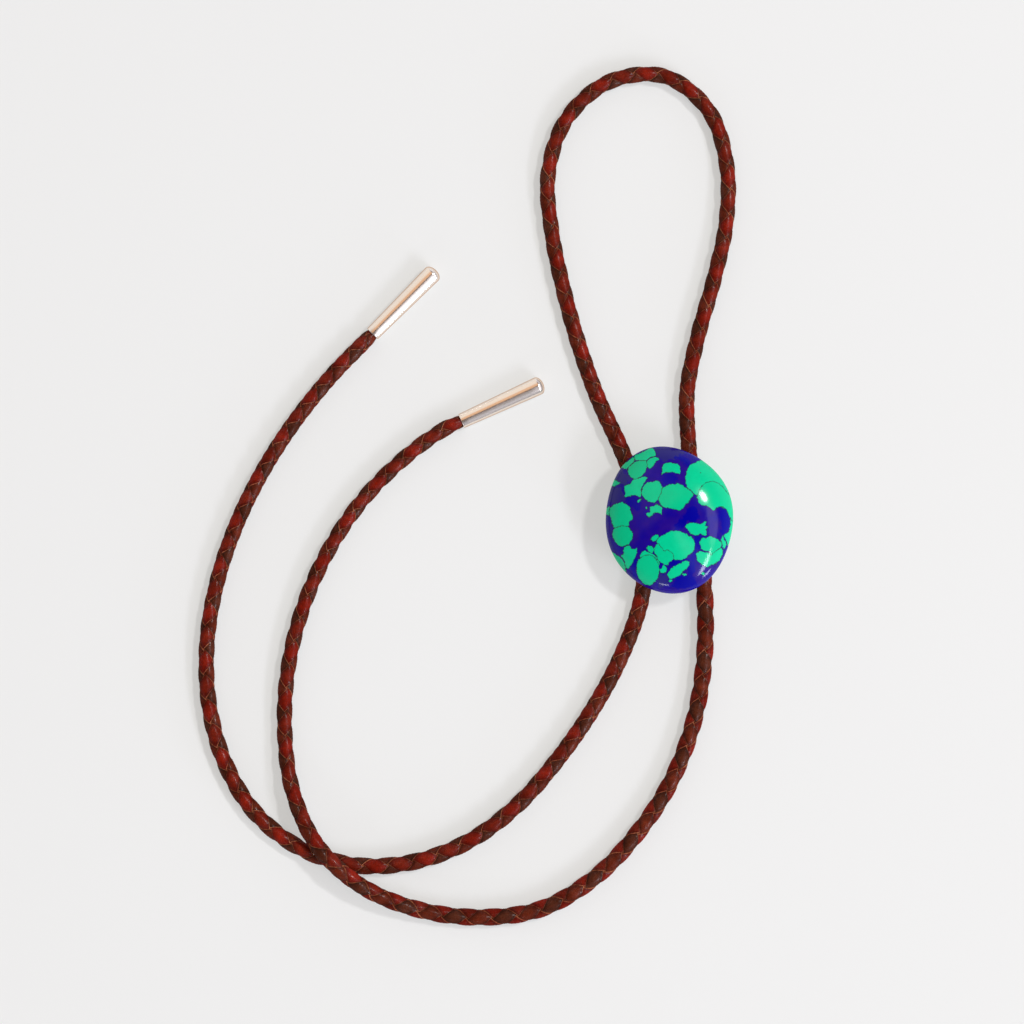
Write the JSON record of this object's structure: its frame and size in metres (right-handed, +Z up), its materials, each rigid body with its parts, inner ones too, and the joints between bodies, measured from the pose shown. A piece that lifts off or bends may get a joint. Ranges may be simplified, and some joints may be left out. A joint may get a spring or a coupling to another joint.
{
  "type": "bolo tie",
  "caption": "Bolo tie lying flat: a polished domed stone on a sleeved clasp, on a round braided leather cord with a neck loop, crossing tails and rounded metal tips.",
  "frame": {"origin": "on the table under the middle of the slide: the centre of the bottom of the box around stone and clasp", "axes": "+Z up out of the stone's face, +Y up the tie towards the neck loop, +X to the right as seen from the front"},
  "size_m": [0.1503, 0.2399, 0.0164],
  "materials": {
    "stone": "deep blue with rounded bright green chips, high polish",
    "braided_leather": "four-strand round braid, red-brown and dark brown laces, waxed",
    "clasp_metal": "nickel-toned, satin",
    "tip_metal": "bright polish, faint rose-gold tint"
  },
  "bodies": {
    "root": {"cabochon": "stone", "back_clasp": "clasp_metal", "cord_neck_loop": "braided_leather", "cord_left_tail": "braided_leather", "cord_right_tail": "braided_leather", "tip_left": "tip_metal", "tip_right": "tip_metal"}
  },
  "joints": []
}
